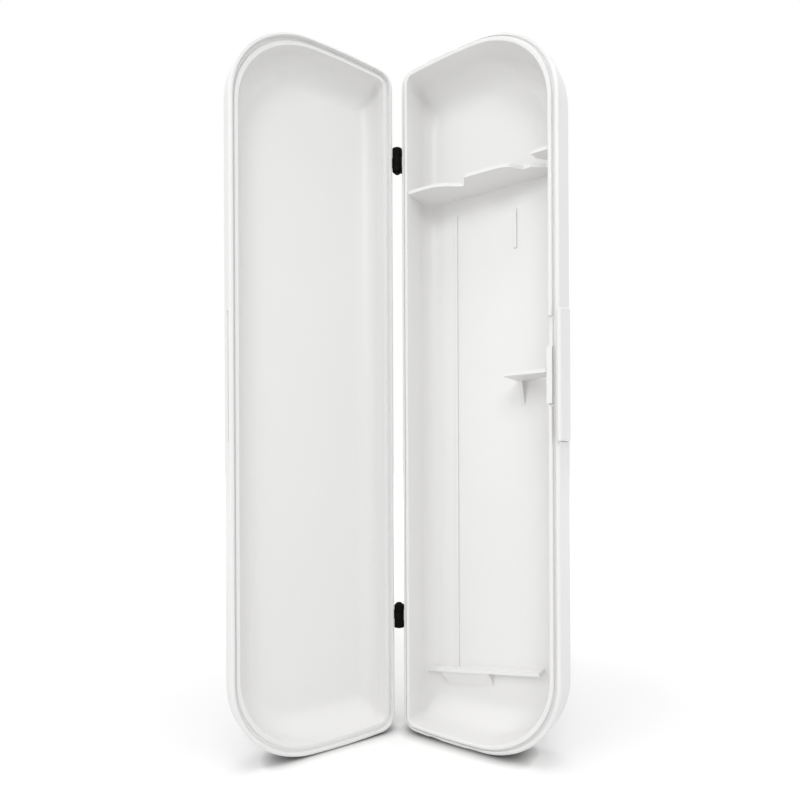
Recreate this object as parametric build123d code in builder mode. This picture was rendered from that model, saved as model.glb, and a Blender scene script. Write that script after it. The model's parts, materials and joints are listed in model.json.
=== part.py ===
from build123d import *
import os
from math import cos, radians, sin, sqrt

# Travel case for a rechargeable toothbrush: two moulded shells joined at a spine by two black hinges,
# standing open on their ends, with a rocking latch on the base's free wall.
#
# Frame: +Z up, origin on the floor under the middle of the open case. The base's rim plane is parallel
# to XZ and faces -Y, its spine is at its -X side. All sizes are in millimetres, angles in degrees.
# "across" runs from the hinge axis over a shell's width, "depth" goes from the rim plane into a shell.

# ---------------------------------------------------------------- driving sizes

# outline shared by both shells
case_height = 230.5
case_width = 56.25
end_radius = 220.0          # crown of the top and bottom ends
crown_across = 21.5         # highest point of the crown, from the spine
free_corner_radius = 26.5
corner_widening = 0.7       # share of an inset that the free corners' radius gains
spine_corner_radius = 5.4

# walls
wall = 3.1                  # at the rim, lip and groove included
base_depth = 15.0
base_back = 1.6
base_outer_round = 6.5
base_inner_round = 5.0
base_end_round = 8.5       # inside, at the top and bottom ends
lid_depth = 12.4
lid_back = 1.5
lid_outer_round = 8.0
lid_inner_round = 5.5
lid_end_round = 8.0        # inside, at the top and bottom ends
crown_play = 0.03           # of the rounder ends past the cavity's own wall
draft = 1.0                 # of the inner walls

# stepped rim
rim_band = 1.2
rim_round = 0.9
rim_groove = 0.8
groove_depth = 0.5
lip_height = 1.0            # of the base's lip over its rim
lip_clearance = 0.2         # between the two lips when closed
lip_round = 0.3
lid_groove_depth = 1.5

# hinges
lid_open_angle = 114.7      # between the rims as the case stands
hinge_offset = 1.6          # from the hinge axis to each spine
barrel_radius = 1.7
barrel_relief = 0.3
hinge_length = 8.6
knuckle_gap = 0.15
lid_knuckle_length = 3.0
pin_radius = 0.5
pin_clearance = 0.04
pin_recess = 0.4
upper_hinge_from_top = 31.15
lower_hinge_height = 40.45
barrel_chamfer = 0.9
tang_reach = 2.0            # into the spine
tang_thickness = 1.4
tang_depth = 2.0            # from the rim plane to the tang

# neck rib across the top of the handle bay
rib_from_top = 43.85
rib_thickness = 1.1
cradle_share = 0.143        # end of the neck's cradle; this and the next shares are of the case's width
slope_share = 0.298
slope_depth = 2.1
crest_share = 0.389
crest_depth = 5.2
dip_start_share = 0.439
dip_start_depth = 0.4
dip_middle_share = 0.589
dip_middle_depth = 0.8
dip_low_share = 0.707
dip_low_depth = 2.5
step_start_share = 0.764
step_end_share = 0.804
step_depth = 6.1
rib_rear_share = 0.875
rib_rear_depth = 8.9
rib_wall_depth = 9.6
end_slope = 0.35            # of the first curve at the crest
step_slope = 0.6            # of the second curve at the step

# corner ledge beside the rib
ledge_reach = 5.5           # from the free wall
ledge_lift = 0.5            # over the rib's underside
ledge_depth = 5.6
ledge_middle_reach = 5.0

# bracket on the free wall
bracket_over_middle = 5.2
bracket_thickness = 1.2
bracket_reach = 15.0        # of its tip from the free wall
bracket_depth = 4.6
bracket_tip_depth = 0.8
bracket_foot = 2.4          # length of the part that stands on the back
web_reach = 14.1            # from the free wall
web_thickness = 1.1
web_drop = 8.0
web_proud = 2.8             # at its top, from the back

# rails on the back
rail_width = 1.0
rail_height = 0.6
long_rail_across = 14.7
long_rail_under_rib = 5.4
short_rail_across = 37.0
short_rail_under_rib = 8.4
short_rail_length = 13.0

# lower shelf, rising towards the free side
shelf_start_across = 3.4
shelf_start_height = 18.45
shelf_length = 43.6
shelf_rise_angle = 8.9
shelf_thickness = 1.2
shelf_front_at_spine = 10.4
shelf_front_at_free = 8.6
ramp_start = 6.0            # along the shelf
ramp_length = 18.5
ramp_drop = 6.5

# latch
latch_over_middle = 4.05     # middle of the bar
bar_length = 39.1
bar_thickness = 0.9         # at its front edge
bar_bulge = 1.1             # thickness where it is thickest
bulge_depth = 3.0
bar_tail = 0.9              # thickness at its rear edge
bar_top_rise = 1.6          # of its upper end, from the front edge to the rear one
bar_gap = 0.1               # between the bar and the walls it lies on
bar_front = 1.9             # ahead of the rim plane
bar_rear = 7.5              # behind the rim plane
bar_round = 0.4
bead_front = 1.45            # middle of the bead, ahead of the rim plane
bead_width = 0.7
bead_bite = 0.4             # into the lid's wall
bead_clearance = 0.15
rocker_recess = 1.0         # in the wall, for the rear of the bar
rocker_clearance = 0.4
latch_pin_depth = 2.6
latch_pin_inset = 0.85      # from the outer face of the free wall
latch_pin_radius = 0.5
boss_radius = 0.95
boss_clearance = 0.15       # between the boss and the clip's plate
boss_length = 9.4
clip_over_middle = 4.2      # middle of the clip
clip_length = 17.0
clip_overhang = 0.5         # of its plate past the inner face of the wall
clip_rear = 7.0
clip_fit = 0.05
ear_thickness = 1.6
ear_radius = 0.8
ear_rear = 5.0
window_front = 1.2          # of the opening behind the rim, for the ears and the boss
lip_gap_over_middle = 8.38
lip_gap_length = 26.85

# latch spring
spring_wire = 0.26
spring_turns = 3.5
spring_pitch = 0.36
spring_coil_radius = 0.7
spring_leg = 0.9
spring_seat = 0.1           # between the coil and the boss

# ---------------------------------------------------------------- derived places

free_across = case_width + hinge_offset
spine_across = hinge_offset
mid_height = case_height / 2
base_floor_depth = base_depth - base_back
lid_floor_depth = lid_depth - lid_back
inner_free = free_across - wall
lip_inset = rim_band + rim_groove

upper_hinge_height = case_height - upper_hinge_from_top
rib_height = case_height - rib_from_top
bracket_height = mid_height + bracket_over_middle
latch_height = mid_height + latch_over_middle
bar_bottom = latch_height - bar_length / 2
clip_height = mid_height + clip_over_middle
lip_gap_height = mid_height + lip_gap_over_middle
pin_across = free_across - latch_pin_inset
plate_inner = inner_free - clip_overhang
plate_outer = pin_across - boss_radius - boss_clearance

# The lid's direction and its depth direction, seen from above.
lid_turn = radians(lid_open_angle)
lid_along = Vector(cos(lid_turn), -sin(lid_turn), 0)
lid_inward = Vector(-sin(lid_turn), -cos(lid_turn), 0)

# How far the open case reaches from the hinge axis, to each side.
reach_right = free_across + bar_gap + bar_bulge
lid_round_along = free_across - lid_outer_round
lid_round_depth = lid_depth - lid_outer_round
reach_left = -lid_round_along * lid_along.X - lid_round_depth * lid_inward.X + lid_outer_round
reach_back = base_depth
reach_front = -free_across * lid_along.Y
hinge_x = (reach_left - reach_right) / 2
hinge_y = (reach_front - reach_back) / 2

# Planes. The wall planes look along the depth; the floor planes are level and start at the hinge axis.
base_wall_plane = Plane(origin=(hinge_x, hinge_y, mid_height), x_dir=(1, 0, 0), z_dir=(0, 1, 0))
lid_wall_plane = Plane(origin=(hinge_x, hinge_y, mid_height), x_dir=lid_along, z_dir=lid_inward)
base_level = Plane(origin=(hinge_x, hinge_y, 0), x_dir=(1, 0, 0), z_dir=(0, 0, 1))
lid_level = Plane(origin=(hinge_x, hinge_y, 0), x_dir=lid_along, z_dir=(0, 0, 1))

# A little extra length, by which a cutter runs past the face that it cuts.
past = 1.0


# ---------------------------------------------------------------- shared shapes


def arc_drop(across):
    """How far the crowned end lies below its highest point."""
    return end_radius - sqrt(end_radius**2 - (across - crown_across) ** 2)


def case_outline(inset):
    """The outline of a shell, moved inwards by inset, with its centre line at mid height."""
    half = case_height / 2
    spine_half = half - arc_drop(0)
    free_half = half - arc_drop(case_width)
    left = spine_across
    right = free_across
    peak = spine_across + crown_across
    with BuildSketch() as outline:
        with BuildLine():
            Line((left, -spine_half), (left, spine_half))
            ThreePointArc((left, spine_half), (peak, half), (right, free_half))
            Line((right, free_half), (right, -free_half))
            ThreePointArc((right, -free_half), (peak, -half), (left, -spine_half))
        make_face()
        free_corners = outline.vertices().group_by(Axis.X)[-1]
        fillet(free_corners, radius=free_corner_radius + corner_widening * inset)
        fillet(outline.vertices().group_by(Axis.X)[0], radius=spine_corner_radius)
        if inset > 0:
            offset(amount=-inset, kind=Kind.INTERSECTION)
    return outline.sketch


def outline_ring(outer_inset, inner_inset):
    """The band between two inset outlines."""
    with BuildSketch() as ring:
        add(case_outline(outer_inset))
        add(case_outline(inner_inset), mode=Mode.SUBTRACT)
    return ring.sketch


def shell_block(wall_plane, depth, back_round):
    """The outer form of a shell, still solid, with its back edge and its rim edge rounded."""
    depth_axis = Axis(wall_plane.origin, wall_plane.z_dir)
    with BuildPart() as block:
        with BuildSketch(wall_plane):
            add(case_outline(0))
        extrude(amount=depth)
        fillet(block.faces().sort_by(depth_axis)[-1].edges(), radius=back_round)
        fillet(block.faces().sort_by(depth_axis)[0].edges(), radius=rim_round)
    return block.part


def crown_disc(wall_plane, depth, end_round, side):
    """A disc as large as a crowned end, with its floor edge rounded; side is the sign of that end's height."""
    peak = spine_across + crown_across
    with BuildPart() as disc:
        with BuildSketch(wall_plane):
            with Locations((peak, side * (mid_height - end_radius))):
                Circle(end_radius - wall + crown_play)
        extrude(amount=depth, taper=draft)
        floor = disc.faces().sort_by(Axis(wall_plane.origin, wall_plane.z_dir))[-1]
        fillet(floor.edges(), radius=end_round)
    return disc.part


def shell_cavity(wall_plane, depth, floor_round, end_round):
    """The hollow of a shell, with drafted walls, a rounded floor edge and rounder ends."""
    with BuildPart() as cavity:
        with BuildSketch(wall_plane):
            add(case_outline(wall))
        extrude(amount=depth, taper=draft)
        floor = cavity.faces().sort_by(Axis(wall_plane.origin, wall_plane.z_dir))[-1]
        fillet(floor.edges(), radius=floor_round)
        for side in (1, -1):
            add(crown_disc(wall_plane, depth, end_round, side), mode=Mode.INTERSECT)
    return cavity.part


def rim_lip():
    """The base's raised inner lip, with both its edges rounded."""
    with BuildPart() as lip:
        with BuildSketch(base_wall_plane):
            add(outline_ring(lip_inset, wall))
        extrude(amount=-lip_height)
        fillet(lip.faces().sort_by(Axis.Y)[0].edges(), radius=lip_round)
    return lip.part


def barrel_cutter(level, height):
    """The round relief that both spines have around a hinge barrel."""
    with BuildPart() as cutter:
        with BuildSketch(level.offset(height - hinge_length / 2 - barrel_relief)):
            Circle(barrel_radius + barrel_relief)
        extrude(amount=hinge_length + 2 * barrel_relief)
    return cutter.part


def tang_block(level, height, side):
    """The tang of a hinge leaf, which fills its socket in the spine; side is the sign of the depth."""
    with BuildPart() as tang:
        with BuildSketch(level.offset(height - hinge_length / 2)):
            with Locations((spine_across + tang_reach / 2, side * (tang_depth + tang_thickness / 2))):
                Rectangle(tang_reach, tang_thickness)
        extrude(amount=hinge_length)
    return tang.part


# ---------------------------------------------------------------- base shell

rib_seat = base_depth - base_back / 2   # ribs end inside the back wall
wall_seat = free_across - wall / 2      # and inside the free wall


def bar_side_plane(across):
    """A plane across the shell's width, with the depth along x and the height over the bar's lower end along y."""
    return Plane(origin=(hinge_x + across, hinge_y, bar_bottom), x_dir=(0, 1, 0), z_dir=(1, 0, 0))


def bar_top(depth):
    """Height of the bar's sloping upper end over its lower one."""
    return bar_length + bar_top_rise * (depth + bar_front) / (bar_rear + bar_front)


def width_share(share):
    """Distance from the hinge axis of a share of the case's width."""
    return spine_across + share * case_width


# Ribs, rails, bracket and shelf, cut to the outer form so that nothing leaves the shell.
with BuildPart() as base_fittings:
    # neck rib: a cradle for the neck beside the spine, a crest and a dip for the brush head
    with BuildSketch(base_level.offset(rib_height)):
        with BuildLine():
            Polyline((spine_across, rib_seat), (spine_across, 0), (width_share(cradle_share), 0))
            Spline(
                (width_share(cradle_share), 0),
                (width_share(slope_share), slope_depth),
                (width_share(crest_share), crest_depth),
                tangents=((1, 0), (1, end_slope)),
            )
            Line((width_share(crest_share), crest_depth), (width_share(dip_start_share), dip_start_depth))
            Spline(
                (width_share(dip_start_share), dip_start_depth),
                (width_share(dip_middle_share), dip_middle_depth),
                (width_share(dip_low_share), dip_low_depth),
                (width_share(step_start_share), step_depth),
                tangents=((1, 0), (1, step_slope)),
            )
            Polyline(
                (width_share(step_start_share), step_depth),
                (width_share(step_end_share), step_depth),
                (width_share(rib_rear_share), rib_rear_depth),
                (wall_seat, rib_wall_depth),
                (wall_seat, rib_seat),
                (spine_across, rib_seat),
            )
        make_face()
    extrude(amount=rib_thickness)

    # corner ledge beside the rib
    with BuildSketch(base_level.offset(rib_height + ledge_lift)):
        with BuildLine():
            Polyline(
                (inner_free - ledge_reach, 0),
                (wall_seat, 0),
                (wall_seat, ledge_depth),
                (inner_free - ledge_reach / 2, ledge_depth),
                (inner_free - ledge_middle_reach, ledge_depth / 2),
                close=True,
            )
        make_face()
    extrude(amount=rib_thickness)

    # bracket: a tapered finger from the free wall
    with BuildSketch(base_level.offset(bracket_height)):
        with BuildLine():
            Polyline(
                (inner_free - bracket_reach, 0),
                (wall_seat, 0),
                (wall_seat, bracket_depth),
                (inner_free - bracket_reach + bracket_foot, rib_seat),
                (inner_free - bracket_reach, rib_seat),
                (inner_free - bracket_reach, bracket_tip_depth),
                close=True,
            )
        make_face()
    extrude(amount=bracket_thickness)

    # web that carries the bracket from the back
    web_plane = Plane(
        origin=(hinge_x + inner_free - web_reach, hinge_y, bracket_height),
        x_dir=(0, 1, 0),
        z_dir=(1, 0, 0),
    )
    with BuildSketch(web_plane):
        with BuildLine():
            Polyline(
                (base_floor_depth - web_proud, bracket_thickness),
                (base_floor_depth - web_proud, 0),
                (base_floor_depth, -web_drop),
                (rib_seat, -web_drop),
                (rib_seat, bracket_thickness),
                close=True,
            )
        make_face()
    extrude(amount=web_thickness)

    # rails on the back
    short_rail_top = rib_height - short_rail_under_rib
    for rail_across, rail_bottom, rail_top in (
        (long_rail_across, shelf_start_height, rib_height - long_rail_under_rib),
        (short_rail_across, short_rail_top - short_rail_length, short_rail_top),
    ):
        with BuildSketch(base_level.offset(rail_bottom)):
            with Locations((spine_across + rail_across, (base_floor_depth - rail_height + rib_seat) / 2)):
                Rectangle(rail_width, rib_seat - base_floor_depth + rail_height)
        extrude(amount=rail_top - rail_bottom)

    # lower shelf and the ramp under its middle, both along the shelf's slope
    shelf_slope = radians(shelf_rise_angle)
    shelf_origin = Vector(hinge_x + spine_across + shelf_start_across, hinge_y, shelf_start_height)
    shelf_along = Vector(cos(shelf_slope), 0, sin(shelf_slope))
    shelf_up = Vector(-sin(shelf_slope), 0, cos(shelf_slope))
    with BuildSketch(Plane(origin=shelf_origin, x_dir=shelf_along, z_dir=shelf_up)):
        with BuildLine():
            Polyline(
                (0, shelf_front_at_spine),
                (shelf_length, shelf_front_at_free),
                (shelf_length, rib_seat),
                (0, rib_seat),
                close=True,
            )
        make_face()
    extrude(amount=shelf_thickness)
    ramp_plane = Plane(origin=shelf_origin, x_dir=(0, 1, 0), z_dir=shelf_along)
    with BuildSketch(ramp_plane.offset(ramp_start)):
        with BuildLine():
            Polyline(
                (shelf_front_at_spine, 0),
                (shelf_front_at_spine, shelf_thickness / 2),
                (rib_seat, shelf_thickness / 2),
                (rib_seat, -ramp_drop),
                close=True,
            )
        make_face()
    extrude(amount=ramp_length)

    add(shell_block(base_wall_plane, base_depth, base_outer_round), mode=Mode.INTERSECT)

clip_socket_length = clip_length + 2 * clip_fit

with BuildPart() as base_shell:
    add(shell_block(base_wall_plane, base_depth, base_outer_round))
    cavity = shell_cavity(base_wall_plane, base_floor_depth, base_inner_round, base_end_round)
    add(cavity, mode=Mode.SUBTRACT)
    add(base_fittings.part)

    # raised inner lip, then the groove between it and the rim band
    add(rim_lip())
    with BuildSketch(base_wall_plane):
        add(outline_ring(rim_band, lip_inset))
    extrude(amount=groove_depth, mode=Mode.SUBTRACT)

    # hinge barrels and tang sockets
    for hinge_height in (upper_hinge_height, lower_hinge_height):
        add(barrel_cutter(base_level, hinge_height), mode=Mode.SUBTRACT)
        add(tang_block(base_level, hinge_height, 1), mode=Mode.SUBTRACT)

    # the lip stops beside the latch
    with BuildSketch(base_level.offset(lip_gap_height - lip_gap_length / 2)):
        with Locations((wall_seat, -(lip_height + past) / 2)):
            Rectangle(wall + 2 * past, lip_height + past)
    extrude(amount=lip_gap_length, mode=Mode.SUBTRACT)

    # slot in the inner side of the free wall for the clip's plate, and the window behind the rim
    with BuildSketch(base_level.offset(clip_height - clip_socket_length / 2)):
        with Locations(((inner_free - past + plate_outer) / 2, (clip_rear + clip_fit - past) / 2)):
            Rectangle(plate_outer - inner_free + past, clip_rear + clip_fit + past)
        with Locations((wall_seat, (window_front + clip_rear) / 2)):
            Rectangle(wall + 2 * past, clip_rear - window_front)
    extrude(amount=clip_socket_length, mode=Mode.SUBTRACT)

    # recess that the rear of the bar swings into
    recess_front = latch_pin_depth - boss_radius
    recess_rear = bar_rear + rocker_clearance
    with BuildSketch(bar_side_plane(free_across - rocker_recess)):
        with BuildLine():
            Polyline(
                (recess_front, -bar_gap),
                (recess_rear, -bar_gap),
                (recess_rear, bar_top(recess_rear) + 2 * bar_gap),
                (recess_front, bar_top(recess_front) + 2 * bar_gap),
                close=True,
            )
        make_face()
    extrude(amount=rocker_recess + past, mode=Mode.SUBTRACT)

# ---------------------------------------------------------------- lid shell

with BuildPart() as lid_shell:
    add(shell_block(lid_wall_plane, lid_depth, lid_outer_round))
    cavity = shell_cavity(lid_wall_plane, lid_floor_depth, lid_inner_round, lid_end_round)
    add(cavity, mode=Mode.SUBTRACT)

    # recessed inner lip and the deeper groove in front of the rim band
    with BuildSketch(lid_wall_plane):
        add(case_outline(lip_inset))
    extrude(amount=lip_height + lip_clearance, mode=Mode.SUBTRACT)
    with BuildSketch(lid_wall_plane):
        add(outline_ring(rim_band, lip_inset))
    extrude(amount=lid_groove_depth, mode=Mode.SUBTRACT)

    # hinge barrels and tang sockets
    for hinge_height in (upper_hinge_height, lower_hinge_height):
        add(barrel_cutter(lid_level, hinge_height), mode=Mode.SUBTRACT)
        add(tang_block(lid_level, hinge_height, -1), mode=Mode.SUBTRACT)

    # keeper groove on the outer face for the bar's bead
    keeper_width = bead_width + 2 * bead_clearance
    keeper_depth = bead_bite + bead_clearance
    with BuildSketch(lid_level.offset(bar_bottom)):
        with Locations((free_across + past / 2 - keeper_depth / 2, -bead_front)):
            Rectangle(keeper_depth + past, keeper_width)
    extrude(amount=bar_length, mode=Mode.SUBTRACT)

for shell, shell_name in ((base_shell, "base_shell"), (lid_shell, "lid_shell")):
    shell.part.label = shell_name

# ---------------------------------------------------------------- hinges


def leaf_arm(side):
    """Section of the arm between a barrel and its tang; side is the sign of the depth."""
    tang_end = tang_depth + tang_thickness
    with BuildSketch() as arm:
        with BuildLine():
            Polyline(
                (0, 0),
                (spine_across, side * tang_depth),
                (spine_across + tang_reach / 2, side * tang_depth),
                (spine_across + tang_reach / 2, side * tang_end),
                (spine_across, side * tang_end),
                (0, side * barrel_radius),
                close=True,
            )
        make_face()
    return arm.sketch


def base_leaf(height, taper_up):
    """The leaf in the base's spine: two knuckles, one of them tapered, their arms and one tang."""
    bottom = height - hinge_length / 2
    knuckle_length = (hinge_length - lid_knuckle_length) / 2 - knuckle_gap
    starts = (bottom, bottom + hinge_length - knuckle_length)
    with BuildPart() as leaf:
        for start in starts:
            with BuildSketch(base_level.offset(start)):
                Circle(barrel_radius)
            extrude(amount=knuckle_length)
        if taper_up:
            arm_rise = 0
            tapered_edge = leaf.edges().filter_by(GeomType.CIRCLE).sort_by(Axis.Z)[-1]
        else:
            arm_rise = barrel_chamfer
            tapered_edge = leaf.edges().filter_by(GeomType.CIRCLE).sort_by(Axis.Z)[0]
        chamfer(tapered_edge, length=barrel_chamfer)
        for start in starts:
            with BuildSketch(base_level.offset(start + arm_rise)):
                add(leaf_arm(1))
            extrude(amount=knuckle_length - barrel_chamfer)
        add(tang_block(base_level, height, 1))
        with BuildSketch(base_level.offset(bottom)):
            Circle(pin_radius)
        extrude(amount=hinge_length, mode=Mode.SUBTRACT)
    return leaf.part


def lid_leaf(height):
    """The leaf in the lid's spine: the middle knuckle, its arm and a tang."""
    bottom = height - lid_knuckle_length / 2
    with BuildPart() as leaf:
        with BuildSketch(lid_level.offset(bottom)):
            Circle(barrel_radius)
            add(leaf_arm(-1))
        extrude(amount=lid_knuckle_length)
        add(tang_block(lid_level, height, -1))
        with BuildSketch(lid_level.offset(bottom)):
            Circle(pin_radius + pin_clearance)
        extrude(amount=lid_knuckle_length, mode=Mode.SUBTRACT)
    return leaf.part


def hinge_pin(height):
    """The steel pin, a little shorter than the barrel."""
    with BuildPart() as pin:
        with BuildSketch(base_level.offset(height - hinge_length / 2 + pin_recess)):
            Circle(pin_radius)
        extrude(amount=hinge_length - 2 * pin_recess)
    return pin.part


hinge_pieces = []
for hinge_name, hinge_height, taper_up in (
    ("upper_hinge", upper_hinge_height, False),
    ("lower_hinge", lower_hinge_height, True),
):
    for piece_name, piece in (
        ("base_leaf", base_leaf(hinge_height, taper_up)),
        ("lid_leaf", lid_leaf(hinge_height)),
        ("pin", hinge_pin(hinge_height)),
    ):
        piece.label = f"{hinge_name}_{piece_name}"
        hinge_pieces.append(piece)

# ---------------------------------------------------------------- latch

bar_inner = free_across + bar_gap
bar_middle = bar_inner + bar_thickness / 2

# the bar: a rounded, slightly bulging plate with a bead at its front edge and a boss around the pin
with BuildPart() as latch_bar:
    with BuildSketch(base_level.offset(bar_bottom)):
        with BuildLine():
            Polyline(
                (bar_inner + bar_tail, bar_rear),
                (bar_inner, bar_rear),
                (bar_inner, -bar_front),
                (bar_inner + bar_thickness, -bar_front),
            )
            ThreePointArc(
                (bar_inner + bar_thickness, -bar_front),
                (bar_inner + bar_bulge, bulge_depth),
                (bar_inner + bar_tail, bar_rear),
            )
        make_face()
    extrude(amount=bar_top(bar_rear))

    # the upper end slopes up towards the rear
    with BuildSketch(bar_side_plane(bar_inner - past)):
        with BuildLine():
            Polyline(
                (-bar_front, bar_top(-bar_front)),
                (bar_rear, bar_top(bar_rear)),
                (-bar_front, bar_top(bar_rear)),
                close=True,
            )
        make_face()
    extrude(amount=bar_bulge + 2 * past, mode=Mode.SUBTRACT)
    outer_face = latch_bar.faces().sort_by(Axis.X)[-1]
    fillet(outer_face.edges(), radius=bar_round)
    with BuildSketch(base_level.offset(bar_bottom + 2 * bar_round)):
        with BuildLine():
            Polyline(
                (bar_inner, -bead_front - bead_width / 2),
                (free_across - bead_bite, -bead_front),
                (bar_inner, -bead_front + bead_width / 2),
                (bar_middle, -bead_front),
                close=True,
            )
        make_face()
    extrude(amount=bar_length - 4 * bar_round)
    with BuildSketch(base_level.offset(clip_height - boss_length / 2)):
        with Locations((pin_across, latch_pin_depth)):
            Circle(boss_radius)
        with Locations(((pin_across + bar_middle) / 2, latch_pin_depth)):
            Rectangle(bar_middle - pin_across, 2 * boss_radius)
    extrude(amount=boss_length)
    with BuildSketch(base_level.offset(clip_height - boss_length / 2)):
        with Locations((pin_across, latch_pin_depth)):
            Circle(latch_pin_radius + pin_clearance)
    extrude(amount=boss_length, mode=Mode.SUBTRACT)
latch_bar.part.label = "latch_bar"

# the clip: a plate in line with the inner lip, with two ears that hold the pin
with BuildPart() as latch_clip:
    with BuildSketch(base_level.offset(clip_height - clip_length / 2)):
        with Locations(((plate_inner + plate_outer) / 2, (clip_rear - lip_height) / 2)):
            Rectangle(plate_outer - plate_inner, clip_rear + lip_height)
    extrude(amount=clip_length)
    ear_front = window_front + clip_fit
    for ear_bottom in (clip_height - clip_length / 2, clip_height + clip_length / 2 - ear_thickness):
        with BuildSketch(base_level.offset(ear_bottom)):
            with Locations(((plate_outer + pin_across) / 2, (ear_front + ear_rear) / 2)):
                Rectangle(pin_across - plate_outer, ear_rear - ear_front)
            with Locations((pin_across, latch_pin_depth)):
                Circle(ear_radius)
        extrude(amount=ear_thickness)
    with BuildSketch(base_level.offset(clip_height - clip_length / 2)):
        with Locations((pin_across, latch_pin_depth)):
            Circle(latch_pin_radius)
    extrude(amount=clip_length, mode=Mode.SUBTRACT)
latch_clip.part.label = "latch_clip"

with BuildPart() as latch_pin:
    with BuildSketch(base_level.offset(clip_height - clip_length / 2)):
        with Locations((pin_across, latch_pin_depth)):
            Circle(latch_pin_radius)
    extrude(amount=clip_length)
latch_pin.part.label = "latch_pin"

# torsion spring around the pin, between the boss and the upper ear; one leg lies along the bar, the other
# along the clip's plate
spring_bottom = clip_height + boss_length / 2 + spring_seat + spring_wire / 2
spring_axis = Vector(hinge_x + pin_across, hinge_y + latch_pin_depth, spring_bottom)
with BuildPart() as latch_spring:
    with BuildLine() as coil:
        Helix(
            pitch=spring_pitch,
            height=spring_turns * spring_pitch,
            radius=spring_coil_radius,
            center=spring_axis,
            lefthand=True,
        )
    with BuildSketch(Plane(origin=coil.line @ 0, z_dir=coil.line % 0)):
        Circle(spring_wire / 2)
    sweep()
    for coil_end, leg_length in ((0, -spring_leg), (1, spring_leg)):
        with BuildSketch(Plane(origin=coil.line @ coil_end, z_dir=coil.line % coil_end)):
            Circle(spring_wire / 2)
        extrude(amount=leg_length)
latch_spring.part.label = "latch_spring"

# ---------------------------------------------------------------- output

finished = [
    base_shell.part,
    lid_shell.part,
    *hinge_pieces,
    latch_bar.part,
    latch_clip.part,
    latch_pin.part,
    latch_spring.part,
]
os.makedirs("parts", exist_ok=True)
for piece in finished:
    export_step(piece, f"parts/{piece.label}.step")
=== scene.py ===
"""Looks of a slim toothbrush travel case that stands open on its two ends.

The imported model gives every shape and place, in metres. This file adds the finishes, the floor, the lamps
and the camera.
"""

import json
import logging
import math
from dataclasses import dataclass
from enum import Enum

import bpy
from mathutils import Matrix, Vector

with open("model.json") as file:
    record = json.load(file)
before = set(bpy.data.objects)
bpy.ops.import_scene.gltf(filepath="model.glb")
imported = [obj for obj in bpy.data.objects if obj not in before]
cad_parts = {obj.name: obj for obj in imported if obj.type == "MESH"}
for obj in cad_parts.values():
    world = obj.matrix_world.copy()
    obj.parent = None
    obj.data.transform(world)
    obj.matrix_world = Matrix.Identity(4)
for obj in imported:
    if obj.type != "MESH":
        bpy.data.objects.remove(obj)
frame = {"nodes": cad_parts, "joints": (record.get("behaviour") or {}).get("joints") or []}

LOG = logging.getLogger("travel_case")
IMAGE_PIXELS = 800.0
SENSOR_WIDTH = 36.0
LIGHT_COLOUR = (0.98, 0.988, 1.0)
WHITE = (1.0, 1.0, 1.0, 1.0)
WHITE_PLASTIC_COLOUR = (0.807, 0.8, 0.788)
GRAIN_DETAIL = 2.0
RIPPLE_DETAIL = 1.0
CLOSED_TURN = 180.0  # of the lid's rim plane from the base's, in degrees


class Slot(Enum):
    """The material slots of the record."""

    SHELL = "shell_white"
    LATCH = "latch_white"
    HINGE = "hinge_black"
    PIN = "pin_steel"
    SPRING = "spring_steel"


# ---------------------------------------------------------------- finishes


class SocketKind(Enum):
    """The kinds of socket that the node groups have."""

    NUMBER = "NodeSocketFloat"
    VECTOR = "NodeSocketVector"


def new_group(
    name: str, inputs: dict[str, SocketKind], outputs: dict[str, SocketKind]
) -> tuple[bpy.types.NodeTree, bpy.types.Node, bpy.types.Node]:
    """Starts a shader node group.

    Args:
        name: the group's name.
        inputs: its input sockets, by name.
        outputs: its output sockets, by name.

    Returns:
        The group, its input node and its output node.
    """
    group = bpy.data.node_groups.new(name, "ShaderNodeTree")
    for way, sockets in (("INPUT", inputs), ("OUTPUT", outputs)):
        for socket, kind in sockets.items():
            group.interface.new_socket(name=socket, in_out=way, socket_type=kind.value)
    return group, group.nodes.new("NodeGroupInput"), group.nodes.new("NodeGroupOutput")


def number_mix(tree: bpy.types.NodeTree) -> bpy.types.Node:
    """Adds a mix of two numbers to a node tree.

    Args:
        tree: the node tree.

    Returns:
        The mix node.
    """
    mix = tree.nodes.new("ShaderNodeMix")
    mix.data_type = "FLOAT"
    return mix


def operation(tree: bpy.types.NodeTree, node_type: str, kind: str) -> bpy.types.Node:
    """Adds a math or vector math node to a node tree.

    Args:
        tree: the node tree.
        node_type: the type of the node.
        kind: the operation that it does.

    Returns:
        The node.
    """
    node = tree.nodes.new(node_type)
    node.operation = kind
    return node


def placed_group(
    tree: bpy.types.NodeTree,
    group: bpy.types.NodeTree,
    values: dict[str, float | tuple[float, float, float]],
) -> bpy.types.Node:
    """Places a node group in a material's node tree.

    Args:
        tree: the material's node tree.
        group: the node group.
        values: the values of its inputs, by name.

    Returns:
        The node of the group.
    """
    node = tree.nodes.new("ShaderNodeGroup")
    node.node_tree = group
    for socket, value in values.items():
        node.inputs[socket].default_value = value
    return node


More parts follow.
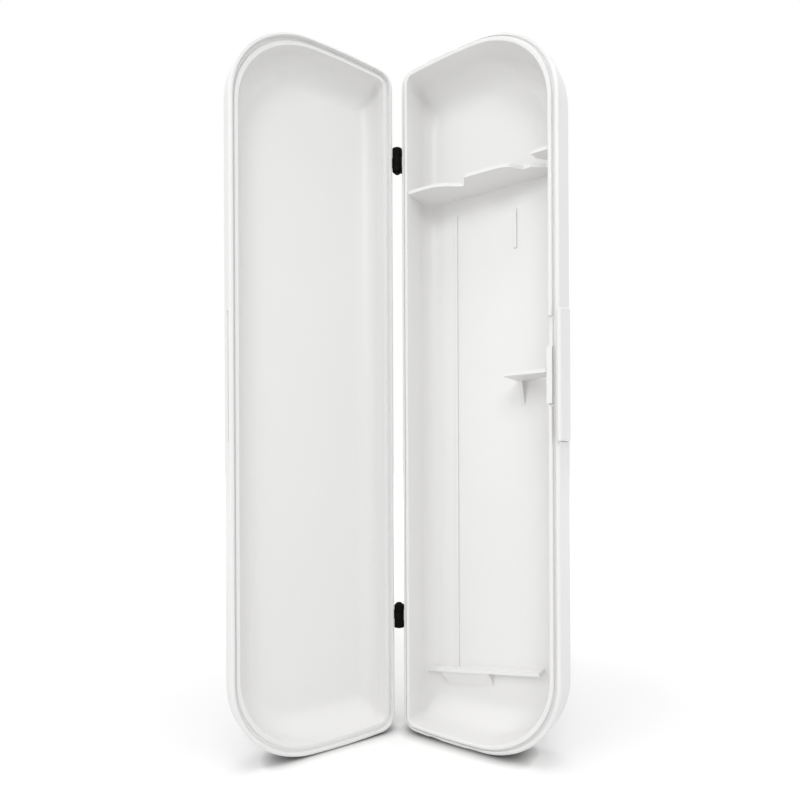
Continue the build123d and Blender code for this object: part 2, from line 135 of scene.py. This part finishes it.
def moulded_surface_group() -> bpy.types.NodeTree:
    """Builds the surface of a moulded plastic part: fine grain, slow ripple and a faint tone drift.

    Returns:
        The node group, with Tone, Roughness and Height outputs.
    """
    numbers = ("Grain Scale", "Ripple Scale", "Ripple Share", "Roughness Low", "Roughness High", "Tone Low")
    group, entry, leave = new_group(
        "moulded_surface",
        {name: SocketKind.NUMBER for name in numbers},
        {name: SocketKind.NUMBER for name in ("Tone", "Roughness", "Height")},
    )
    nodes, links = group.nodes, group.links
    place = nodes.new("ShaderNodeTexCoord")

    grain = nodes.new("ShaderNodeTexNoise")
    grain.inputs["Detail"].default_value = GRAIN_DETAIL
    links.new(place.outputs["Object"], grain.inputs["Vector"])
    links.new(entry.outputs["Grain Scale"], grain.inputs["Scale"])

    ripple = nodes.new("ShaderNodeTexNoise")
    ripple.inputs["Detail"].default_value = RIPPLE_DETAIL
    links.new(place.outputs["Object"], ripple.inputs["Vector"])
    links.new(entry.outputs["Ripple Scale"], ripple.inputs["Scale"])

    height = number_mix(group)
    links.new(entry.outputs["Ripple Share"], height.inputs["Factor"])
    links.new(grain.outputs["Fac"], height.inputs["A"])
    links.new(ripple.outputs["Fac"], height.inputs["B"])
    links.new(height.outputs["Result"], leave.inputs["Height"])

    rough = number_mix(group)
    links.new(grain.outputs["Fac"], rough.inputs["Factor"])
    links.new(entry.outputs["Roughness Low"], rough.inputs["A"])
    links.new(entry.outputs["Roughness High"], rough.inputs["B"])
    links.new(rough.outputs["Result"], leave.inputs["Roughness"])

    tone = nodes.new("ShaderNodeMapRange")
    tone.inputs["To Max"].default_value = 1.0
    links.new(ripple.outputs["Fac"], tone.inputs["Value"])
    links.new(entry.outputs["Tone Low"], tone.inputs["To Min"])
    links.new(tone.outputs["Result"], leave.inputs["Tone"])
    return group


def corner_reach_group() -> bpy.types.NodeTree:
    """Builds the mask of a shell's two end cavities, where the mould's inner corners are blended.

    The mask grows with the depth below the rim plane and towards either end of the shell.

    Returns:
        The node group, with a Mask output.
    """
    group, entry, leave = new_group(
        "corner_reach",
        {
            "Rim Point": SocketKind.VECTOR,
            "Depth Way": SocketKind.VECTOR,
            "Half Length": SocketKind.NUMBER,
            "Depth Start": SocketKind.NUMBER,
            "Depth Full": SocketKind.NUMBER,
            "End Start": SocketKind.NUMBER,
            "End Full": SocketKind.NUMBER,
        },
        {"Mask": SocketKind.NUMBER},
    )
    nodes, links = group.nodes, group.links
    place = nodes.new("ShaderNodeTexCoord")

    local = operation(group, "ShaderNodeVectorMath", "SUBTRACT")
    links.new(place.outputs["Object"], local.inputs[0])
    links.new(entry.outputs["Rim Point"], local.inputs[1])
    depth = operation(group, "ShaderNodeVectorMath", "DOT_PRODUCT")
    links.new(local.outputs["Vector"], depth.inputs[0])
    links.new(entry.outputs["Depth Way"], depth.inputs[1])
    deep = nodes.new("ShaderNodeMapRange")
    links.new(entry.outputs["Depth Start"], deep.inputs["From Min"])
    links.new(entry.outputs["Depth Full"], deep.inputs["From Max"])
    links.new(depth.outputs["Value"], deep.inputs["Value"])

    split = nodes.new("ShaderNodeSeparateXYZ")
    links.new(local.outputs["Vector"], split.inputs["Vector"])
    off_middle = operation(group, "ShaderNodeMath", "ABSOLUTE")
    links.new(split.outputs["Z"], off_middle.inputs[0])
    to_end = operation(group, "ShaderNodeMath", "SUBTRACT")
    links.new(entry.outputs["Half Length"], to_end.inputs[0])
    links.new(off_middle.outputs["Value"], to_end.inputs[1])
    near_end = nodes.new("ShaderNodeMapRange")
    links.new(entry.outputs["End Start"], near_end.inputs["From Min"])
    links.new(entry.outputs["End Full"], near_end.inputs["From Max"])
    links.new(to_end.outputs["Value"], near_end.inputs["Value"])

    both = operation(group, "ShaderNodeMath", "MULTIPLY")
    links.new(deep.outputs["Result"], both.inputs[0])
    links.new(near_end.outputs["Result"], both.inputs[1])
    links.new(both.outputs["Value"], leave.inputs["Mask"])
    return group


@dataclass(frozen=True)
class CornerBlend:
    """How far a shell's finish blends the inner corners of its two end cavities.

    Each reach holds the distance at which the blend starts and the one at which it is full: the depth from
    the rim plane, and the way to the nearer end of the shell.
    """

    mask: bpy.types.NodeTree
    rim_point: tuple[float, float, float]
    depth_way: tuple[float, float, float]
    half_length: float = 0.115
    depth_reach: tuple[float, float] = (0.0012, 0.0035)
    end_reach: tuple[float, float] = (0.018, 0.015)
    edge_radius: float = 0.0001
    corner_radius: float = 0.004
    samples: int = 8

    def build(self, tree: bpy.types.NodeTree) -> bpy.types.NodeSocket:
        """Adds the blended normal to a material's node tree.

        Args:
            tree: the node tree.

        Returns:
            The socket of the normal.
        """
        reach = placed_group(
            tree,
            self.mask,
            {
                "Rim Point": self.rim_point,
                "Depth Way": self.depth_way,
                "Half Length": self.half_length,
                "Depth Start": self.depth_reach[0],
                "Depth Full": self.depth_reach[1],
                "End Start": self.end_reach[0],
                "End Full": self.end_reach[1],
            },
        )
        radius = tree.nodes.new("ShaderNodeMapRange")
        radius.inputs["To Min"].default_value = self.edge_radius
        radius.inputs["To Max"].default_value = self.corner_radius
        tree.links.new(reach.outputs["Mask"], radius.inputs["Value"])
        blend = tree.nodes.new("ShaderNodeBevel")
        blend.samples = self.samples
        tree.links.new(radius.outputs["Result"], blend.inputs["Radius"])
        return blend.outputs["Normal"]


@dataclass(frozen=True)
class MouldedPlastic:
    """A moulded plastic finish."""

    name: str
    colour: tuple[float, float, float]
    roughness: tuple[float, float]
    tone_low: float
    grain_scale: float
    ripple_scale: float
    ripple_share: float
    bump_depth: float
    specular: float = 0.5

    def build(self, surface: bpy.types.NodeTree, blend: CornerBlend | None = None) -> bpy.types.Material:
        """Makes the material.

        Args:
            surface: the moulded surface group.
            blend: the blend of a shell's inner corners, or None.

        Returns:
            The material.
        """
        material = bpy.data.materials.new(self.name)
        material.use_nodes = True
        nodes, links = material.node_tree.nodes, material.node_tree.links
        shader = nodes["Principled BSDF"]
        shader.inputs["Specular IOR Level"].default_value = self.specular
        group = placed_group(
            material.node_tree,
            surface,
            {
                "Grain Scale": self.grain_scale,
                "Ripple Scale": self.ripple_scale,
                "Ripple Share": self.ripple_share,
                "Roughness Low": self.roughness[0],
                "Roughness High": self.roughness[1],
                "Tone Low": self.tone_low,
            },
        )
        links.new(group.outputs["Roughness"], shader.inputs["Roughness"])

        colour = nodes.new("ShaderNodeMix")
        colour.data_type = "RGBA"
        colour.blend_type = "MULTIPLY"
        colour.inputs["Factor"].default_value = 1.0
        colour.inputs["A"].default_value = (*self.colour, 1.0)
        links.new(group.outputs["Tone"], colour.inputs["B"])
        links.new(colour.outputs["Result"], shader.inputs["Base Color"])

        bump = nodes.new("ShaderNodeBump")
        bump.inputs["Distance"].default_value = self.bump_depth
        links.new(group.outputs["Height"], bump.inputs["Height"])
        if blend is not None:
            links.new(blend.build(material.node_tree), bump.inputs["Normal"])
        links.new(bump.outputs["Normal"], shader.inputs["Normal"])
        return material


@dataclass(frozen=True)
class SteelWire:
    """A drawn steel finish for the pins and the spring, with fine lines along Z."""

    name: str
    colour: tuple[float, float, float]
    roughness: tuple[float, float]
    line_scale: float
    bump_depth: float
    line_detail: float = 3.0
    line_stretch: tuple[float, float, float] = (1.0, 1.0, 0.05)

    def build(self) -> bpy.types.Material:
        """Makes the material.

        Returns:
            The material.
        """
        material = bpy.data.materials.new(self.name)
        material.use_nodes = True
        nodes, links = material.node_tree.nodes, material.node_tree.links
        shader = nodes["Principled BSDF"]
        shader.inputs["Metallic"].default_value = 1.0
        shader.inputs["Base Color"].default_value = (*self.colour, 1.0)

        place = nodes.new("ShaderNodeTexCoord")
        stretch = nodes.new("ShaderNodeMapping")
        stretch.inputs["Scale"].default_value = self.line_stretch
        lines = nodes.new("ShaderNodeTexNoise")
        lines.inputs["Scale"].default_value = self.line_scale
        lines.inputs["Detail"].default_value = self.line_detail
        links.new(place.outputs["Object"], stretch.inputs["Vector"])
        links.new(stretch.outputs["Vector"], lines.inputs["Vector"])

        rough = nodes.new("ShaderNodeMapRange")
        rough.inputs["To Min"].default_value, rough.inputs["To Max"].default_value = self.roughness
        links.new(lines.outputs["Fac"], rough.inputs["Value"])
        links.new(rough.outputs["Result"], shader.inputs["Roughness"])

        bump = nodes.new("ShaderNodeBump")
        bump.inputs["Distance"].default_value = self.bump_depth
        links.new(lines.outputs["Fac"], bump.inputs["Height"])
        links.new(bump.outputs["Normal"], shader.inputs["Normal"])
        return material


WHITE_SHELL = MouldedPlastic(
    name="white_shell_plastic",
    colour=WHITE_PLASTIC_COLOUR,
    roughness=(0.34, 0.44),
    tone_low=0.985,
    grain_scale=2600.0,
    ripple_scale=45.0,
    ripple_share=0.35,
    bump_depth=0.00001,
)
WHITE_LATCH = MouldedPlastic(
    name="white_latch_plastic",
    colour=WHITE_PLASTIC_COLOUR,
    roughness=(0.3, 0.4),
    tone_low=0.985,
    grain_scale=3000.0,
    ripple_scale=90.0,
    ripple_share=0.3,
    bump_depth=0.00001,
)
BLACK_HINGE = MouldedPlastic(
    name="black_hinge_plastic",
    colour=(0.003, 0.003, 0.003),
    roughness=(0.5, 0.65),
    tone_low=0.8,
    grain_scale=4000.0,
    ripple_scale=300.0,
    ripple_share=0.3,
    bump_depth=0.00002,
    specular=0.05,
)
PIN_STEEL = SteelWire(
    name="drawn_pin_steel",
    colour=(0.6, 0.6, 0.61),
    roughness=(0.22, 0.4),
    line_scale=5000.0,
    bump_depth=0.000005,
)
SPRING_STEEL = SteelWire(
    name="spring_wire_steel",
    colour=(0.5, 0.5, 0.51),
    roughness=(0.25, 0.42),
    line_scale=6000.0,
    bump_depth=0.000004,
)


def dress(node: str, material: bpy.types.Material) -> None:
    """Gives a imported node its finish.

    Args:
        node: the node's name.
        material: its finish.
    """
    part = frame["nodes"][node]
    part.data.materials.clear()
    part.data.materials.append(material)


# ---------------------------------------------------------------- sub-assemblies


@dataclass
class Shell:
    """One of the two moulded shells, which open at the plane through the hinge's axis.

    Its rim plane is turned about the hinge's axis by the turn, in degrees, from the base's rim plane.
    """

    node: str
    rim_point: tuple[float, float, float]
    turn: float

    def build(
        self, finish: MouldedPlastic, surface: bpy.types.NodeTree, mask: bpy.types.NodeTree
    ) -> list[str]:
        """Dresses the shell.

        Args:
            finish: the shell's finish.
            surface: the moulded surface group.
            mask: the mask group of the end cavities.

        Returns:
            The names of the pieces.
        """
        angle = math.radians(self.turn)
        depth_way = (-math.sin(angle), math.cos(angle), 0.0)
        plastic = finish.build(surface, CornerBlend(mask, self.rim_point, depth_way))
        plastic.name = f"{self.node}_plastic"
        dress(self.node, plastic)
        return [self.node]


@dataclass
class Hinge:
    """A black hinge: two leaves and a steel pin."""

    name: str

    def build(self, plastic: bpy.types.Material, steel: bpy.types.Material) -> list[str]:
        """Dresses the leaves and the pin.

        Args:
            plastic: the leaves' finish.
            steel: the pin's finish.

        Returns:
            The names of the pieces.
        """
        leaves = [f"{self.name}_base_leaf", f"{self.name}_lid_leaf"]
        for leaf in leaves:
            dress(leaf, plastic)
        dress(f"{self.name}_pin", steel)
        return [*leaves, f"{self.name}_pin"]


@dataclass
class Latch:
    """The rocking latch: a bar, its clip, a pin and a spring."""

    name: str = "latch"

    def build(
        self, plastic: bpy.types.Material, steel: bpy.types.Material, wire: bpy.types.Material
    ) -> list[str]:
        """Dresses the latch.

        Args:
            plastic: the bar's and the clip's finish.
            steel: the pin's finish.
            wire: the spring's finish.

        Returns:
            The names of the pieces.
        """
        for piece in ("bar", "clip"):
            dress(f"{self.name}_{piece}", plastic)
        dress(f"{self.name}_pin", steel)
        dress(f"{self.name}_spring", wire)
        return [f"{self.name}_{piece}" for piece in ("bar", "clip", "pin", "spring")]


# ---------------------------------------------------------------- studio


@dataclass(frozen=True)
class Lamp:
    """A square area lamp that looks at a point."""

    name: str
    place: tuple[float, float, float]
    side: float
    power: float
    aim: tuple[float, float, float] = (0.0, 0.0, 0.1)

    def build(self) -> None:
        """Adds the lamp to the scene."""
        light = bpy.data.lights.new(self.name, "AREA")
        light.shape = "SQUARE"
        light.size = self.side
        light.energy = self.power
        light.color = LIGHT_COLOUR
        lamp = bpy.data.objects.new(self.name, light)
        lamp.location = self.place
        lamp.rotation_euler = (Vector(self.aim) - Vector(self.place)).to_track_quat("-Z", "Y").to_euler()
        lamp.visible_camera = False
        bpy.context.scene.collection.objects.link(lamp)


def seen_mask(tree: bpy.types.NodeTree) -> bpy.types.NodeSocket:
    """Adds the mask of the rays that see the background: from the camera, a reflection or through glass.

    Args:
        tree: the node tree of the world or a material.

    Returns:
        The socket that is 1 on such a ray and 0 on any other.
    """
    rays = tree.nodes.new("ShaderNodeLightPath")
    mask = rays.outputs["Is Camera Ray"]
    for kind in ("Is Glossy Ray", "Is Transmission Ray"):
        either = operation(tree, "ShaderNodeMath", "MAXIMUM")
        tree.links.new(mask, either.inputs[0])
        tree.links.new(rays.outputs[kind], either.inputs[1])
        mask = either.outputs["Value"]
    return mask


@dataclass
class Studio:
    """A pale floor with painted contact shade near the case, a white surround, soft lamps and the camera.
    """

    focal_pixels: float = 560.0
    principal_point: tuple[float, float] = (419.8, 467.0)
    camera_place: tuple[float, float, float] = (0.098177, -0.143386, 0.09221)
    heading: float = 32.28
    roll: float = -0.25
    clip_range: tuple[float, float] = (0.005, 50.0)
    floor_side: float = 12.0
    floor_colour: tuple[float, float, float] = (0.78, 0.78, 0.78)
    floor_seen_colour: tuple[float, float, float] = (0.94, 0.932, 0.922)
    # reach and samples of the painted contact shade: ambient occlusion darkens the floor's seen colour near
    # the case
    floor_painted_shade_reach: float = 0.005
    floor_painted_shade_samples: int = 16
    floor_lift: tuple[float, float] = (0.02, 0.75)
    floor_reach: tuple[float, float] = (0.11, 0.8)
    surround_level: float = 0.52

    def build_camera(self) -> None:
        """Places the camera level, at the height and heading from which the case was seen."""
        data = bpy.data.cameras.new("camera")
        data.sensor_width = SENSOR_WIDTH
        data.lens = self.focal_pixels / IMAGE_PIXELS * SENSOR_WIDTH
        data.shift_x = 0.5 - self.principal_point[0] / IMAGE_PIXELS
        data.shift_y = self.principal_point[1] / IMAGE_PIXELS - 0.5
        data.clip_start, data.clip_end = self.clip_range
        camera = bpy.data.objects.new("camera", data)
        camera.location = self.camera_place
        upright = Matrix.Rotation(math.radians(90.0), 4, "X")
        turned = Matrix.Rotation(math.radians(self.heading), 4, "Z")
        rolled = Matrix.Rotation(math.radians(self.roll), 4, "Z")
        camera.rotation_euler = (turned @ upright @ rolled).to_euler()
        bpy.context.scene.collection.objects.link(camera)
        bpy.context.scene.camera = camera

    def build_surround(self) -> None:
        """Makes the world: plain light on the object, white where it is seen."""
        world = bpy.data.worlds.new("surround")
        world.use_nodes = True
        bpy.context.scene.world = world
        nodes, links = world.node_tree.nodes, world.node_tree.links
        back = nodes["Background"]
        tint = nodes.new("ShaderNodeMix")
        tint.data_type = "RGBA"
        tint.inputs["A"].default_value = (*LIGHT_COLOUR, 1.0)
        tint.inputs["B"].default_value = WHITE
        seen = seen_mask(world.node_tree)
        links.new(seen, tint.inputs["Factor"])
        links.new(tint.outputs["Result"], back.inputs["Color"])
        level = nodes.new("ShaderNodeMapRange")
        level.inputs["To Min"].default_value = self.surround_level
        level.inputs["To Max"].default_value = 1.0
        links.new(seen, level.inputs["Value"])
        links.new(level.outputs["Result"], back.inputs["Strength"])

    def build_floor(self) -> None:
        """Makes the pale floor, which is lifted to white where it is seen and keeps the shadow; near the
        case its seen colour is darkened by ambient occlusion, a painted contact shade.
        """
        bpy.ops.object.select_all(action="DESELECT")
        bpy.ops.mesh.primitive_plane_add(size=self.floor_side, location=(0.0, 0.0, 0.0))
        floor = bpy.context.active_object
        floor.name = "floor"
        material = bpy.data.materials.new("pale_floor")
        material.use_nodes = True
        nodes, links = material.node_tree.nodes, material.node_tree.links
        shader = nodes["Principled BSDF"]
        shader.inputs["Roughness"].default_value = 1.0
        shader.inputs["Specular IOR Level"].default_value = 0.0
        shader.inputs["Emission Color"].default_value = WHITE
        seen = seen_mask(material.node_tree)
        colour = nodes.new("ShaderNodeMix")
        colour.data_type = "RGBA"
        colour.inputs["A"].default_value = (*self.floor_colour, 1.0)
        # painted contact shade: the seen colour is darkened by ambient occlusion within a few millimetres
        # of the case
        painted_contact_shade = nodes.new("ShaderNodeAmbientOcclusion")
        painted_contact_shade.samples = self.floor_painted_shade_samples
        painted_contact_shade.inputs["Distance"].default_value = self.floor_painted_shade_reach
        painted_contact_shade.inputs["Color"].default_value = (*self.floor_seen_colour, 1.0)
        links.new(painted_contact_shade.outputs["Color"], colour.inputs["B"])
        links.new(seen, colour.inputs["Factor"])
        links.new(colour.outputs["Result"], shader.inputs["Base Color"])
        place = nodes.new("ShaderNodeTexCoord")
        reach = operation(material.node_tree, "ShaderNodeVectorMath", "LENGTH")
        links.new(place.outputs["Object"], reach.inputs[0])
        level = nodes.new("ShaderNodeMapRange")
        level.inputs["From Min"].default_value, level.inputs["From Max"].default_value = self.floor_reach
        level.inputs["To Min"].default_value, level.inputs["To Max"].default_value = self.floor_lift
        links.new(reach.outputs["Value"], level.inputs["Value"])
        lift = operation(material.node_tree, "ShaderNodeMath", "MULTIPLY")
        links.new(level.outputs["Result"], lift.inputs[1])
        links.new(seen, lift.inputs[0])
        links.new(lift.outputs["Value"], shader.inputs["Emission Strength"])
        floor.data.materials.append(material)

    def build_lamps(self) -> None:
        """Adds the soft lamps."""
        for lamp in (
            Lamp("top_lamp", (0.05, -0.15, 1.6), 1.0, 10.8),
            Lamp("camera_side_lamp", (0.5, -0.9, 0.75), 0.5, 3.4),
            Lamp("left_front_lamp", (-0.6, -1.4, 0.6), 1.0, 5.4),
            Lamp("right_lamp", (1.4, 0.1, 0.6), 1.2, 4.0),
        ):
            lamp.build()

    def build(self) -> None:
        """Makes the whole studio."""
        self.build_camera()
        self.build_surround()
        self.build_floor()
        self.build_lamps()


def main() -> None:
    """Builds the case's pieces in order and then the studio."""
    logging.basicConfig(level=logging.INFO)
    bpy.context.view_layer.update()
    bpy.context.scene.view_settings.view_transform = "Standard"
    surface = moulded_surface_group()
    end_cavities = corner_reach_group()
    latch_plastic = WHITE_LATCH.build(surface)
    hinge_plastic = BLACK_HINGE.build(surface)
    pin_steel = PIN_STEEL.build()
    spring_steel = SPRING_STEEL.build()

    lid_hinge = next(joint for joint in frame["joints"] if joint["name"] == "lid_hinge")
    rim_point = tuple(lid_hinge["pos_m"])
    lid_turn = CLOSED_TURN - max(lid_hinge["range_deg"])
    made = []
    made += Shell("base_shell", rim_point, 0.0).build(WHITE_SHELL, surface, end_cavities)
    made += Shell("lid_shell", rim_point, lid_turn).build(WHITE_SHELL, surface, end_cavities)
    for hinge_name in ("upper_hinge", "lower_hinge"):
        made += Hinge(hinge_name).build(hinge_plastic, pin_steel)
    made += Latch().build(latch_plastic, pin_steel, spring_steel)
    for piece in made:
        LOG.info("made %s", piece)

    Studio().build()


if __name__ == "__main__":
    main()
